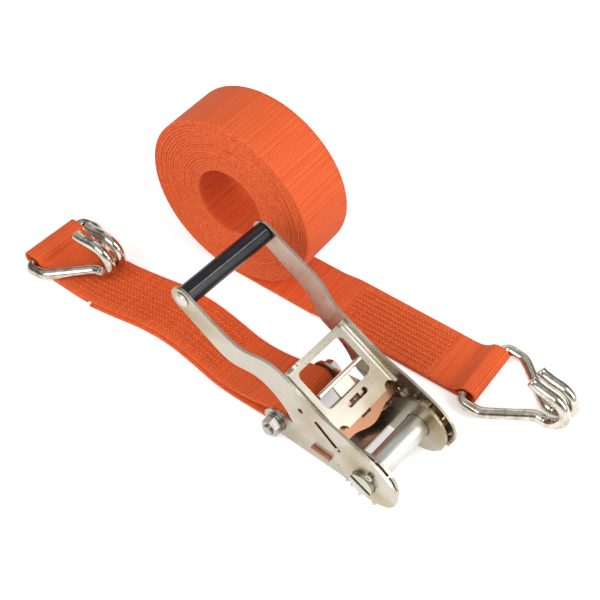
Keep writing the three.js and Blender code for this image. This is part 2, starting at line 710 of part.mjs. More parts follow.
function gripRod() {
  const face = ARM_OUTER + SEAT_GAP;
  const end = face + RIVET_HEIGHT;
  const profile = [
    [0, -end],
    [RIVET_RADIUS * 0.75, -end],
    [RIVET_RADIUS, -face - 0.4],
    [RIVET_RADIUS, -face],
    [GRIP_ROD_RADIUS, -face],
    [GRIP_ROD_RADIUS, face],
    [RIVET_RADIUS, face],
    [RIVET_RADIUS, face + 0.4],
    [RIVET_RADIUS * 0.75, end],
    [0, end],
  ].map(([r, y]) => new THREE.Vector2(r, y));
  return new THREE.LatheGeometry(profile, 24);
}

function gripSleeve() {
  const end = ARM_INNER - SEAT_GAP;
  const bore = GRIP_ROD_RADIUS + SEAT_GAP;
  const profile = [
    [bore, -end],
    [GRIP_RADIUS - 0.6, -end],
    [GRIP_RADIUS, -end + 0.6],
    [GRIP_RADIUS, end - 0.6],
    [GRIP_RADIUS - 0.6, end],
    [bore, end],
    [bore, -end],
  ].map(([r, y]) => new THREE.Vector2(r, y));
  return new THREE.LatheGeometry(profile, 32);
}

// ---- hooks -----------------------------------------------------------------------------------
/** Claw hook bent from one wire: bar along Y at the origin, two legs towards +X, tips up. */
function clawHook() {
  const wide = STRAP_WIDTH / 2 + HOOK_SIDE_GAP + WIRE_RADIUS;
  const leg = HOOK_LEG_PITCH / 2;
  const corner = HOOK_CORNER;
  const bendTop = 2 * HOOK_BEND_RADIUS;
  const half = new THREE.CurvePath();
  const at = (x, y, z) => new THREE.Vector3(x, y, z);
  const straight = (a, b) => half.add(new THREE.LineCurve3(a, b));
  const round = (a, b, c) => half.add(new THREE.QuadraticBezierCurve3(a, b, c));
  straight(at(0, 0, 0), at(0, wide - corner, 0));
  round(at(0, wide - corner, 0), at(0, wide, 0), at(corner, wide, 0));
  straight(at(corner, wide, 0), at(HOOK_SHOULDER - 4, wide, 0));
  round(at(HOOK_SHOULDER - 4, wide, 0), at(HOOK_SHOULDER, wide, 0), at(HOOK_SHOULDER + 4, wide - 3, 0));
  straight(at(HOOK_SHOULDER + 4, wide - 3, 0), at(HOOK_NECK - 3, leg + 2, 0));
  round(at(HOOK_NECK - 3, leg + 2, 0), at(HOOK_NECK, leg, 0), at(HOOK_NECK + 4, leg, 0));
  straight(at(HOOK_NECK + 4, leg, 0), at(HOOK_BEND_AT, leg, 0));
  const kappa = 0.5523 * HOOK_BEND_RADIUS;
  const front = HOOK_BEND_AT + HOOK_BEND_RADIUS;
  const middle = HOOK_BEND_RADIUS;
  half.add(
    new THREE.CubicBezierCurve3(
      at(HOOK_BEND_AT, leg, 0),
      at(HOOK_BEND_AT + kappa, leg, 0),
      at(front, leg, middle - kappa),
      at(front, leg, middle),
    ),
  );
  half.add(
    new THREE.CubicBezierCurve3(
      at(front, leg, middle),
      at(front, leg, middle + kappa),
      at(HOOK_BEND_AT + kappa, leg, bendTop),
      at(HOOK_BEND_AT, leg, bendTop),
    ),
  );
  round(
    at(HOOK_BEND_AT, leg, bendTop),
    at(HOOK_BEND_AT - 10, leg, bendTop),
    at(HOOK_TIP_AT, leg, bendTop + HOOK_TIP_LIFT),
  );
  class Wire extends THREE.Curve {
    getPoint(t, target = new THREE.Vector3()) {
      const side = t < 0.5 ? -1 : 1;
      const p = half.getPointAt(Math.min(Math.abs(2 * t - 1), 1));
      return target.set(p.x, side * p.y, p.z);
    }
  }
  return wire(new Wire(), WIRE_RADIUS, 92, 5);
}

// ---- straps ----------------------------------------------------------------------------------
/** Outline of a strap seen from the side, from the middle line through its points. */
function strapOutline(points) {
  const half = STRAP_THICKNESS / 2;
  const left = [];
  const right = [];
  points.forEach((p, i) => {
    const before = points[Math.max(i - 1, 0)];
    const after = points[Math.min(i + 1, points.length - 1)];
    const along = after.clone().sub(before).normalize();
    left.push([p.x - half * along.y, p.y + half * along.x]);
    right.push([p.x + half * along.y, p.y - half * along.x]);
  });
  return outlineThrough([...left, ...right.reverse()]);
}

/** Points of an arc round a centre, its ends included. */
function arcPoints(centre, radius, from, to, count) {
  const points = [];
  for (let i = 0; i <= count; i += 1) {
    const angle = from + ((to - from) * i) / count;
    const spoke = new THREE.Vector2(Math.cos(angle), Math.sin(angle));
    points.push(centre.clone().addScaledVector(spoke, radius));
  }
  return points;
}

/** Points of a smooth line from one point to another, level at both ends or as the slopes say. */
function easePoints(from, to, count, slopeFrom = 0, slopeTo = 0) {
  const run = (to.x - from.x) / 3;
  const curve = new THREE.CubicBezierCurve(
    from,
    new THREE.Vector2(from.x + run, from.y + run * slopeFrom),
    new THREE.Vector2(to.x - run, to.y - run * slopeTo),
    to,
  );
  return curve.getPoints(count);
}

/** Leaves out a point that repeats the one before it. */
function withoutRepeats(points) {
  return points.filter((p, i) => i === 0 || p.distanceTo(points[i - 1]) > 0.01);
}

/** Sideways sweep of the short strap as it lies, by distance from the spindle. */
const SWAY_START = -352;
const SWAY_END = -96;
const SWAY = [-10.5, -10.6, -10.2, -8.6, -3.6, 2.2, 4.6, 3.4, 1, 0.1, 0];
const swayStep = (SWAY_END - SWAY_START) / (SWAY.length - 1);
const swayLine = new THREE.SplineCurve(SWAY.map((y, i) => new THREE.Vector2(SWAY_START + i * swayStep, y)));

function sway(x) {
  const along = THREE.MathUtils.clamp((x - SWAY_START) / (SWAY_END - SWAY_START), 0, 1);
  return swayLine.getPoint(along).y;
}

/** Short strap: one band folded round the bolt's sleeve and the hook's bar, its ends meeting below. */
function fixedStrap() {
  const bolt = new THREE.Vector2(-BOLT_DISTANCE, SPINDLE_HEIGHT - BOLT_DROP);
  const bar = new THREE.Vector2(FIXED_LOOP_AT, BAR_HEIGHT);
  const low = STRAP_THICKNESS / 2;
  const high = low + LAYER;
  const upperTilt = Math.atan(FIXED_RISE);
  const lowerTilt = Math.atan(FIXED_LOWER_RISE);
  const sleeve = arcPoints(bolt, LOOP_RADIUS, lowerTilt - Math.PI / 2, Math.PI / 2 + upperTilt, 18);
  const half = new THREE.Vector2(FIXED_LOOP_SLACK / 2, 0);
  const eye = [
    ...arcPoints(bar.clone().add(half), EYE_RADIUS, Math.PI / 2 - EYE_WRAP, Math.PI / 2, 5),
    ...arcPoints(bar.clone().sub(half), EYE_RADIUS, Math.PI / 2, 1.5 * Math.PI, 10),
  ];
  const lowerJoin = new THREE.Vector2(FIXED_JOIN_AT + FIXED_JOIN_STEP, low);
  const upperJoin = new THREE.Vector2(FIXED_JOIN_AT, high);
  const closed = new THREE.Vector2(bar.x + EYE_CLOSE, high);
  const points = withoutRepeats([
    ...easePoints(new THREE.Vector2(FIXED_FLAP_END + FIXED_FLAP_GAP, low), lowerJoin, 12),
    ...easePoints(lowerJoin, sleeve[0], 8, 0, FIXED_LOWER_RISE),
    ...sleeve,
    ...easePoints(sleeve[sleeve.length - 1], upperJoin, 8, FIXED_RISE, 0),
    ...easePoints(upperJoin, closed, 18),
    ...easePoints(closed, eye[0], 6, 0, -Math.tan(EYE_WRAP)),
    ...eye,
    ...easePoints(new THREE.Vector2(bar.x, low), new THREE.Vector2(FIXED_FLAP_END, low), 5),
  ]);
  const geometry = plate(strapOutline(points), -STRAP_WIDTH / 2, STRAP_WIDTH / 2);
  const position = geometry.attributes.position;
  for (let i = 0; i < position.count; i += 1) {
    position.setY(i, position.getY(i) + sway(position.getX(i)));
  }
  return geometry;
}

/** Tail of the long strap: flat from under the roll, folded round the hook's bar and back below. */
function strapTail() {
  const low = STRAP_THICKNESS / 2;
  const high = low + LAYER;
  const bar = new THREE.Vector2(TAIL_LENGTH, BAR_HEIGHT);
  const start = TAIL_FLAP_START - 6;
  const half = new THREE.Vector2(TAIL_LOOP_SLACK / 2, 0);
  const eye = [
    ...arcPoints(bar.clone().sub(half), EYE_RADIUS, Math.PI / 2 + EYE_WRAP, Math.PI / 2, 5),
    ...arcPoints(bar.clone().add(half), EYE_RADIUS, Math.PI / 2, -Math.PI / 2, 10),
  ];
  const points = withoutRepeats([
    new THREE.Vector2(-16, low),
    ...easePoints(new THREE.Vector2(0, low), new THREE.Vector2(start - TAIL_RISE, low), 5),
    ...easePoints(new THREE.Vector2(start - TAIL_RISE, low), new THREE.Vector2(start, high), 6),
    ...easePoints(new THREE.Vector2(start, high), new THREE.Vector2(bar.x - EYE_CLOSE, high), 6),
    ...easePoints(new THREE.Vector2(bar.x - EYE_CLOSE, high), eye[0], 6, 0, Math.tan(EYE_WRAP)),
    ...eye,
    ...easePoints(new THREE.Vector2(bar.x, low), new THREE.Vector2(TAIL_FLAP_START, low), 8),
  ]);
  return plate(strapOutline(points), -STRAP_WIDTH / 2, STRAP_WIDTH / 2);
}

function strapRoll() {
  return ring(ROLL_CORE_RADIUS, ROLL_RADIUS, -STRAP_WIDTH / 2, STRAP_WIDTH / 2, 60);
}

// ---- assembly --------------------------------------------------------------------------------
const assembly = new THREE.Group();

const ratchet = new THREE.Group();
ratchet.position.z = SPINDLE_HEIGHT;
assembly.add(ratchet);

part(ratchet, "base_frame", baseFrame(), zincSteel);
part(ratchet, "lock_pawl", lockPawl(), zincSteel);
part(ratchet, "lock_pawl_spring", coilSpring(SPRING_REST_FRONT, SPRING_REST_TOP), springSteel);

const boltLine = new THREE.Group();
boltLine.position.set(-BOLT_DISTANCE, 0, -BOLT_DROP);
ratchet.add(boltLine);
const sleeveEnd = FRAME_INNER - SEAT_GAP;
part(boltLine, "anchor_bolt", anchorBolt(), brightSteel);
part(boltLine, "anchor_nut", anchorNut(), brightSteel);
part(
  boltLine,
  "anchor_sleeve",
  ring(BOLT_RADIUS + SEAT_GAP, SLEEVE_RADIUS, -sleeveEnd, sleeveEnd),
  brightSteel,
);
const washerOuterFace = WASHER_INNER_FACE + WASHER_THICKNESS;
part(
  boltLine,
  "washer_near",
  ring(BOLT_RADIUS + SEAT_GAP, WASHER_RADIUS, -washerOuterFace, -WASHER_INNER_FACE),
  brightSteel,
);
part(
  boltLine,
  "washer_far",
  ring(BOLT_RADIUS + SEAT_GAP, WASHER_RADIUS, WASHER_INNER_FACE, washerOuterFace),
  brightSteel,
);

const spindle = new THREE.Group();
spindle.rotation.y = SLOT_ANGLE;
ratchet.add(spindle);
part(spindle, "spindle_half_upper", spindleHalf(1), brightSteel);
part(spindle, "spindle_half_lower", spindleHalf(-1), brightSteel);
part(spindle, "ratchet_wheel_near", ratchetWheel(-WHEEL_OUTER, -WHEEL_INNER), zincSteel);
part(spindle, "ratchet_wheel_far", ratchetWheel(WHEEL_INNER, WHEEL_OUTER), zincSteel);
part(spindle, "split_pin_near", splitPin(-1), brightSteel);
part(spindle, "split_pin_far", splitPin(1), brightSteel);

const handle = new THREE.Group();
handle.rotation.y = HANDLE_LIFT;
ratchet.add(handle);
part(handle, "handle_frame", handleFrame(), zincSteel);
const gripLine = new THREE.Group();
gripLine.position.x = -GRIP_DISTANCE;
handle.add(gripLine);
part(gripLine, "grip_rod", gripRod(), brightSteel);
part(gripLine, "grip_sleeve", gripSleeve(), gripPlastic);
const pawlLine = new THREE.Group();
pawlLine.rotation.y = FEED_PAWL_TILT;
handle.add(pawlLine);
part(pawlLine, "feed_pawl", feedPawl(), zincSteel);
part(pawlLine, "feed_pawl_spring", coilSpring(SPRING_REST_FRONT, SPRING_REST_TOP), springSteel);

part(assembly, "fixed_strap", fixedStrap(), webbing);
const fixedHook = new THREE.Group();
fixedHook.position.set(FIXED_LOOP_AT, sway(FIXED_LOOP_AT), BAR_HEIGHT);
fixedHook.rotation.set(0, -FIXED_HOOK_TILT, FIXED_HOOK_YAW, "ZYX");
assembly.add(fixedHook);
part(fixedHook, "fixed_hook", clawHook(), hookSteel);

const longStrap = new THREE.Group();
longStrap.position.set(ROLL_AT.x, ROLL_AT.y, 0);
longStrap.rotation.z = ROLL_YAW;
assembly.add(longStrap);
const roll = new THREE.Group();
roll.position.z = STRAP_THICKNESS + SEAT_GAP + ROLL_RADIUS;
longStrap.add(roll);
part(roll, "long_strap_roll", strapRoll(), webbing);
part(longStrap, "long_strap_tail", strapTail(), webbing);
const longHook = new THREE.Group();
longHook.position.set(TAIL_LENGTH, 0, BAR_HEIGHT);
longHook.rotation.set(0, Math.asin((BAR_HEIGHT - WIRE_RADIUS) / HOOK_BEND_AT), LONG_HOOK_YAW, "ZYX");
longStrap.add(longHook);
part(longHook, "long_hook", clawHook(), hookSteel);

// The origin is the middle of the footprint, on the surface that everything lies on.
const box = new THREE.Box3().setFromObject(assembly, true);
const middle = box.getCenter(new THREE.Vector3());
assembly.position.set(-middle.x, -middle.y, -box.min.z);

const tieDown = new THREE.Group();
tieDown.add(assembly);

export default tieDown;
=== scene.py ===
# Ratchet tie down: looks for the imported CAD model, in metres, in the model's own frame.
import json
import math

import bpy
from mathutils import Matrix, Vector


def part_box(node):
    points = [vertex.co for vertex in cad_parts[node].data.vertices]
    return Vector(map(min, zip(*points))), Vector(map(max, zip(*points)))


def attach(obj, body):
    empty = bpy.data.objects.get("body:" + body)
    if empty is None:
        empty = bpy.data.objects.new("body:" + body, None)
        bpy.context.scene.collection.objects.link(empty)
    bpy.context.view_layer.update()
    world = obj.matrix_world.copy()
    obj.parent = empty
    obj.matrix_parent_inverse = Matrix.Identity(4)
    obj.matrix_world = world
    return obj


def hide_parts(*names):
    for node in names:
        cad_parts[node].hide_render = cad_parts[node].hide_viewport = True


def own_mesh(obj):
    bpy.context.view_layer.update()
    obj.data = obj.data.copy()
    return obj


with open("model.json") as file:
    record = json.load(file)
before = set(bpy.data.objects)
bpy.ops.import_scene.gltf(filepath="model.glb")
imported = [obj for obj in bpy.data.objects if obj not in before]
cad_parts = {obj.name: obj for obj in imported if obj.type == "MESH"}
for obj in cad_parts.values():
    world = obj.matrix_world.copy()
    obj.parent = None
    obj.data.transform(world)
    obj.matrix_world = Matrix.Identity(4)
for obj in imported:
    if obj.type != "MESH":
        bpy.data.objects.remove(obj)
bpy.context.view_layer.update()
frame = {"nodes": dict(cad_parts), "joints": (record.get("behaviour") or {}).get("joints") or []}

MM = 0.001
JOINTS = {joint["name"]: joint for joint in frame["joints"]}
SPINDLE = Vector(JOINTS["handle_pivot"]["pos_m"])
BOLT = Vector(JOINTS["fixed_strap_swing"]["pos_m"])
FIXED_BAR = Vector(JOINTS["fixed_hook_swing"]["pos_m"])
LONG_BAR = Vector(JOINTS["long_hook_swing"]["pos_m"])
FIXED_AXIS = Vector(JOINTS["fixed_hook_swing"]["axis"])
LONG_AXIS = Vector(JOINTS["long_hook_swing"]["axis"])

# ---- camera -----------------------------------------------------------------------------------
CAMERA_FROM_SPINDLE = Vector((0.228, -0.366, 0.675))  # from the foot of the spindle's axis
CAMERA_AZIMUTH = math.radians(40.5)
CAMERA_ELEVATION = math.radians(49.2)
CAMERA_LENS = 68.0
CAMERA_SENSOR = 36.0
CAMERA_CLIP_START = 0.01


def add_camera():
    """The camera, at the photograph's viewing angle."""
    data = bpy.data.cameras.new("camera")
    data.lens = CAMERA_LENS
    data.sensor_width = CAMERA_SENSOR
    data.clip_start = CAMERA_CLIP_START
    camera = bpy.data.objects.new("camera", data)
    bpy.context.scene.collection.objects.link(camera)
    camera.location = Vector((SPINDLE.x, SPINDLE.y, 0)) + CAMERA_FROM_SPINDLE
    camera.rotation_euler = (math.pi / 2 - CAMERA_ELEVATION, 0, CAMERA_AZIMUTH)
    bpy.context.scene.camera = camera


# ---- sizes that follow the CAD model ----------------------------------------------------------
STRAP_WIDTH = 50 * MM
STRAP_THICKNESS = 2.3 * MM
LAYER = 2.6 * MM  # from one strap's middle to the next one's, where two lie together
LOW = STRAP_THICKNESS / 2  # height of the middle of a strap that lies on the floor
HIGH = LOW + LAYER  # and of a second layer on top of it
TOP = HIGH + STRAP_THICKNESS / 2
SLEEVE_LOOP_RADIUS = 7.95 * MM  # strap's middle round the bolt's sleeve
EYE_RADIUS = 5.75 * MM  # strap's middle round a hook's bar
EYE_WRAP = 0.9  # radians before the loop's top where the upper layer meets the loop
EYE_CLOSE = 22 * MM  # from a hook's bar to where the two layers lie together
FIXED_LOOP_SLACK = 6 * MM  # room for the hook's bar to lie askew in its loop
TAIL_LOOP_SLACK = 3 * MM
BOLT_FROM_SPINDLE = 82 * MM
ROLL_FROM_HOOK = 216 * MM
TAIL_FLAP = 116 * MM  # length of the tail's folded end, from the hook's bar
TAIL_RISE = 22 * MM  # length over which the tail climbs onto its folded end
TAIL_RISEN = 6 * MM  # and how far before that end it is up
TAIL_YAW = math.radians(4)
WIRE_RADIUS = 4.3 * MM

# Stitching, in rows along the strap where it is folded and sewn.
ROW_PITCH = 4.6 * MM  # from one row to the next
ROWS = [ROW_PITCH * (i - 4) for i in range(9)]
SEWN_HALF = 4.5 * ROW_PITCH
FIXED_SEWN_FROM = -298 * MM  # from the spindle
FIXED_SEWN_TO = -152 * MM
TAIL_SEWN_START = 4 * MM  # from where the tail is up
TAIL_SEWN_END = 12 * MM  # before the hook's loop closes

# ---- materials --------------------------------------------------------------------------------


def set_ramp(node, stops):
    """Give a colour ramp its stops, each a position and an RGB colour, in rising order."""
    elements = node.color_ramp.elements
    while len(elements) < len(stops):
        elements.new(0.5)
    for element, (position, colour) in zip(elements, stops):
        element.position = position
        element.color = (*colour, 1)


class Nodes:
    """A material's node tree, with short calls for what the materials below need."""

    def __init__(self, name):
        self.material = bpy.data.materials.new(name)
        self.material.use_nodes = True
        self.tree = self.material.node_tree
        self.shader = self.tree.nodes["Principled BSDF"]

    def add(self, kind, **values):
        node = self.tree.nodes.new(kind)
        for key, value in values.items():
            setattr(node, key, value)
        return node

    def link(self, source, target):
        self.tree.links.new(source, target)

    def into(self, socket, source):
        """Link source to the shader's socket of that name."""
        self.link(source, self.shader.inputs[socket])

    def set(self, **values):
        """Set the shader's own sockets, with _ for a space in a name."""
        for key, value in values.items():
            self.shader.inputs[key.replace("_", " ")].default_value = value

    def coordinates(self, kind="Object", scale=(1, 1, 1)):
        mapping = self.add("ShaderNodeMapping")
        mapping.inputs["Scale"].default_value = scale
        self.link(self.add("ShaderNodeTexCoord").outputs[kind], mapping.inputs["Vector"])
        return mapping.outputs["Vector"]

    def split(self, vector):
        """X, Y and Z of a vector."""
        node = self.add("ShaderNodeSeparateXYZ")
        self.link(vector, node.inputs[0])
        return node.outputs

    def noise(self, vector, scale, detail, roughness=0.55):
        node = self.add("ShaderNodeTexNoise")
        node.inputs["Scale"].default_value = scale
        node.inputs["Detail"].default_value = detail
        node.inputs["Roughness"].default_value = roughness
        self.link(vector, node.inputs["Vector"])
        return node.outputs["Fac"]

    def ramp(self, factor, stops):
        node = self.add("ShaderNodeValToRGB")
        set_ramp(node, stops)
        self.link(factor, node.inputs["Fac"])
        return node.outputs["Color"]

    def math(self, operation, a, b=None, c=None):
        node = self.add("ShaderNodeMath", operation=operation)
        for slot, value in enumerate((a, b, c)):
            if value is None:
                continue
            if isinstance(value, (int, float)):
                node.inputs[slot].default_value = value
            else:
                self.link(value, node.inputs[slot])
        return node.outputs[0]

    def tint(self, factor, colour, towards):
        """colour, a linked one, turning into the plain colour towards as factor rises."""
        node = self.add("ShaderNodeMix", data_type="RGBA")
        self.link(factor, node.inputs[0])
        self.link(colour, node.inputs[6])
        node.inputs[7].default_value = (*towards, 1)
        return node.outputs[2]

    def bump(self, height, distance, strength):
        node = self.add("ShaderNodeBump")
        node.inputs["Distance"].default_value = distance
        node.inputs["Strength"].default_value = strength
        self.link(height, node.inputs["Height"])
        self.into("Normal", node.outputs["Normal"])


def plated_steel(name, light, dark, rough, browner=None):
    """Zinc plate on rolled sheet: broad stains from light to dark, a fine grain and handling marks.

    rough is the lowest and highest roughness. browner, if given, tints the piece's front half."""
    n = Nodes(name)
    place = n.coordinates()
    stains = n.noise(place, scale=26, detail=2, roughness=0.4)
    colour = n.ramp(stains, [(0.3, dark), (0.52, light)])
    if browner:
        ahead = n.split(n.coordinates("Generated"))[0]
        forward = n.math("MULTIPLY_ADD", stains, 0.4, ahead)
        amount = n.ramp(forward, [(0.45, (0, 0, 0)), (0.75, (1, 1, 1))])
        colour = n.tint(amount, colour, browner)
    n.into("Base Color", colour)
    low, high = rough
    marks = n.noise(place, scale=160, detail=2, roughness=0.5)
    n.into("Roughness", n.math("MULTIPLY_ADD", marks, high - low, low))
    n.set(Metallic=1.0)
    n.bump(n.noise(place, scale=900, detail=2), distance=0.004 * MM, strength=0.3)
    return n.material


def wire_steel():
    """Polished wire: bright, with faint marks and a few dull spots."""
    n = Nodes("hook_steel")
    place = n.coordinates()
    marks = n.noise(place, scale=160, detail=4, roughness=0.7)
    n.into("Base Color", n.ramp(marks, [(0.35, (0.42, 0.36, 0.28)), (0.6, (0.69, 0.65, 0.57))]))
    n.into("Roughness", n.math("MULTIPLY_ADD", marks, 0.14, 0.05))
    n.set(Metallic=1.0)
    n.bump(n.noise(place, scale=420, detail=3), distance=0.006 * MM, strength=0.3)
    return n.material


def grip_plastic():
    """Black moulded plastic with a fine, slightly uneven gloss."""
    n = Nodes("grip_plastic")
    place = n.coordinates()
    broad = n.noise(place, scale=90, detail=3)
    stops = [(0.3, (0.006, 0.006, 0.008)), (0.8, (0.014, 0.014, 0.018))]
    n.into("Base Color", n.ramp(broad, stops))
    n.into("Roughness", n.math("MULTIPLY_ADD", broad, 0.14, 0.17))
    n.set(IOR=1.5, Specular_IOR_Level=0.36)
    n.bump(n.noise(place, scale=1400, detail=3, roughness=0.6), distance=0.03 * MM, strength=0.5)
    return n.material


WEFT_PITCH = 1.95 * MM
WEFT_WANDER = 0.7 * MM  # how far the ribs stray from straight
WARP_PITCH = 0.9 * MM
EDGE_FUZZ = 0.75 * MM  # width of the fuzzy selvedge


def webbing(name, sewn_from, sewn_to):
    """Polyester webbing: ribs across, yarns along, broader bands, and fuzzy selvedges.

    Its UV map is in metres: U across the strap, V along it. From sewn_from to sewn_to, along X,
    rows of stitches pull it down into shallow grooves, and painted shade darkens them."""
    n = Nodes(name)
    uv = n.split(n.add("ShaderNodeTexCoord").outputs["UV"])
    across, along = uv[0], uv[1]
    wobble = n.noise(n.coordinates("UV", (22, 120, 1)), scale=1, detail=3, roughness=0.6)
    bands = n.noise(n.coordinates("UV", (7, 260, 1)), scale=1, detail=3, roughness=0.6)
    lint = n.noise(n.coordinates("UV", (1100, 1100, 1)), scale=1, detail=3, roughness=0.65)
    ragged = n.noise(n.coordinates(), scale=780, detail=3, roughness=0.7)

    bent = n.math("MULTIPLY_ADD", wobble, WEFT_WANDER, along)
    weft = n.math("SINE", n.math("MULTIPLY", bent, 2 * math.pi / WEFT_PITCH))
    pair = n.math("SINE", n.math("MULTIPLY", bent, math.pi / WEFT_PITCH))
    warp = n.math("SINE", n.math("MULTIPLY", across, 2 * math.pi / WARP_PITCH))
    ribs = n.math("MULTIPLY_ADD", pair, 0.25, n.math("MULTIPLY", weft, 0.8))

    ahead = n.split(n.coordinates())[0]
    after = n.math("GREATER_THAN", ahead, sewn_from)
    in_length = n.math("MULTIPLY", after, n.math("LESS_THAN", ahead, sewn_to))
    in_rows = n.math("LESS_THAN", n.math("ABSOLUTE", across), SEWN_HALF)
    from_row = n.math("DIVIDE", n.math("PINGPONG", across, ROW_PITCH / 2), ROW_PITCH / 2)
    sewn = n.math("MULTIPLY", in_length, in_rows)
    # Where the stitches pull the webbing down: a real dip in the bump, and painted shade in its
    # colour.
    groove_and_painted_shade = n.math("MULTIPLY", sewn, n.math("SUBTRACT", 1.0, from_row))
    edge = n.math("GREATER_THAN", n.math("ABSOLUTE", across), STRAP_WIDTH / 2 - EDGE_FUZZ)

    tone = n.math("MULTIPLY_ADD", lint, 0.6, n.math("MULTIPLY", bands, 0.4))
    tone = n.math("MULTIPLY_ADD", ribs, 0.09, tone)
    # Painted shade: the webbing's colour is made darker along the stitch rows.
    tone = n.math("MULTIPLY_ADD", groove_and_painted_shade, -0.27, tone)
    edge_tone = n.math("MULTIPLY_ADD", n.math("SUBTRACT", ragged, 0.5), 1.5, 0.56)
    shade = n.math("MULTIPLY_ADD", edge, n.math("SUBTRACT", edge_tone, tone), tone)
    deep, middle, lit = (0.58, 0.060, 0.012), (0.80, 0.117, 0.026), (0.90, 0.205, 0.058)
    n.into("Base Color", n.ramp(shade, [(0.28, deep), (0.52, middle), (0.78, lit)]))
    n.set(Roughness=0.7, Specular_IOR_Level=0.25)
    n.set(Sheen_Weight=0.15, Sheen_Roughness=0.45, Sheen_Tint=(1.0, 0.45, 0.25, 1))

    height = n.math("MULTIPLY_ADD", warp, 0.15, ribs)
    height = n.math("MULTIPLY_ADD", bands, 1.2, height)
    height = n.math("MULTIPLY_ADD", lint, 0.9, height)
    height = n.math("MULTIPLY_ADD", groove_and_painted_shade, -3.4, height)
    edge_height = n.math("MULTIPLY", ragged, 4.0)
    height = n.math("MULTIPLY_ADD", edge, n.math("SUBTRACT", edge_height, height), height)
    n.bump(height, distance=0.24 * MM, strength=0.8)
    return n.material


def thread():
    """Sewing thread, a little lighter than the webbing."""
    n = Nodes("thread")
    fine = n.noise(n.coordinates(), scale=1100, detail=3, roughness=0.7)
    stops = [(0.36, (0.62, 0.06, 0.012)), (0.5, (0.94, 0.20, 0.05)), (0.66, (0.98, 0.36, 0.11))]
    n.into("Base Color", n.ramp(fine, stops))
    n.set(Roughness=0.6, Specular_IOR_Level=0.2)
    n.bump(fine, distance=0.05 * MM, strength=0.5)
    return n.material


# ---- plain geometry helpers -------------------------------------------------------------------


def mesh_object(name, vertices, faces, material, uvs=None):
    """A smooth mesh object; uvs, if given, holds one pair for each vertex."""
    mesh = bpy.data.meshes.new(name)
    mesh.from_pydata([tuple(v) for v in vertices], [], faces)
    mesh.validate()
    if uvs:
        layer = mesh.uv_layers.new(name="UVMap")
        for loop in mesh.loops:
            layer.data[loop.index].uv = uvs[loop.vertex_index]
    for polygon in mesh.polygons:
        polygon.use_smooth = True
    mesh.materials.append(material)
    thing = bpy.data.objects.new(name, mesh)
    bpy.context.scene.collection.objects.link(thing)
    return thing


def swept(rings):
    """Vertices and faces that join rings of equal size, in order, with a face over each end."""
    count = len(rings[0])
    vertices = [v for ring in rings for v in ring]
    faces = []
    for i in range(len(rings) - 1):
        a, b = i * count, (i + 1) * count
        for j in range(count):
            k = (j + 1) % count
            faces.append((a + j, a + k, b + k, b + j))
    last = (len(rings) - 1) * count
    faces.append(tuple(reversed(range(count))))
    faces.append(tuple(last + j for j in range(count)))
    return vertices, faces


def tube(points, radius, sides):
    """Rings of a round wire along points, kept from twisting.

    radius is a number, or a list with one for each point."""
    rings = []
    ahead = (points[1] - points[0]).normalized()
    side = ahead.orthogonal().normalized()
    turn = [2 * math.pi * j / sides for j in range(sides)]
    for i, point in enumerate(points):
        following = points[min(i + 1, len(points) - 1)]
        before = points[max(i - 1, 0)]
        ahead = (following - before).normalized()
        side = (side - ahead * side.dot(ahead)).normalized()
        up = ahead.cross(side)
        r = radius[i] if isinstance(radius, list) else radius
        rings.append([point + r * (math.cos(t) * side + math.sin(t) * up) for t in turn])
    return rings


def bezier(a, b, c, d, count):
    """Points of a cubic curve, both ends included."""
    points = []
    for i in range(count + 1):
        t = i / count
        s = 1 - t
        points.append(a * s**3 + b * 3 * s * s * t + c * 3 * s * t * t + d * t**3)
    return points


def arc(centre, radius, start, end, count):
    """Points of a circular arc in the X-Z plane, both ends included."""
    angles = [start + (end - start) * i / count for i in range(count + 1)]
    return [centre + radius * Vector((math.cos(a), math.sin(a))) for a in angles]


def ease(a, b, count, slope_a=0.0, slope_b=0.0):
    """Points of a smooth line from a to b in the X-Z plane, with a slope at each end."""
    run = (b.x - a.x) / 3
    return bezier(a, a + Vector((run, run * slope_a)), b - Vector((run, run * slope_b)), b, count)


# ---- straps -----------------------------------------------------------------------------------
COLUMNS = 14  # of faces across the strap
SELVEDGE = 0.6 * MM  # depth of its round edge
SELVEDGE_STEPS = 3
SELVEDGE_THINNER = 0.9
SAME_POINT = 0.02 * MM  # points closer than this count as one


def strap_section():
    """Outline of the webbing's section as (across, up), with round selvedges a little thinner."""
    half = STRAP_WIDTH / 2
    r = STRAP_THICKNESS / 2
    flat = STRAP_WIDTH - 2 * SELVEDGE
    outline = []
    for i in range(COLUMNS + 1):
        outline.append((-half + SELVEDGE + flat * i / COLUMNS, r))
    for i in range(1, SELVEDGE_STEPS + 1):
        a = math.pi / 2 - math.pi * i / (SELVEDGE_STEPS + 1)
        up = SELVEDGE_THINNER * r * math.sin(a)
        outline.append((half - SELVEDGE * (1 - math.cos(a)), up))
    for i in range(COLUMNS + 1):
        outline.append((half - SELVEDGE - flat * i / COLUMNS, -r))
    for i in range(1, SELVEDGE_STEPS + 1):
        a = -math.pi / 2 - math.pi * i / (SELVEDGE_STEPS + 1)
        up = SELVEDGE_THINNER * r * math.sin(a)
        outline.append((-half + SELVEDGE * (1 + math.cos(a)), up))
    return outline


def path_frames(points):
    """(point, normal, length so far) for each point of a path in the X-Z plane."""
    frames = []
    length = 0.0
    for i, p in enumerate(points):
        before = points[max(i - 1, 0)]
        after = points[min(i + 1, len(points) - 1)]
        along = (after - before).normalized()
        if i:
            length += (p - before).length
        frames.append((p, Vector((-along.y, along.x)), length))
    return frames


def path_length(points):
    return path_frames(points)[-1][2]


def without_repeats(points):
    kept = [points[0]]
    for p in points[1:]:
        if (p - kept[-1]).length > SAME_POINT:
            kept.append(p)
    return kept


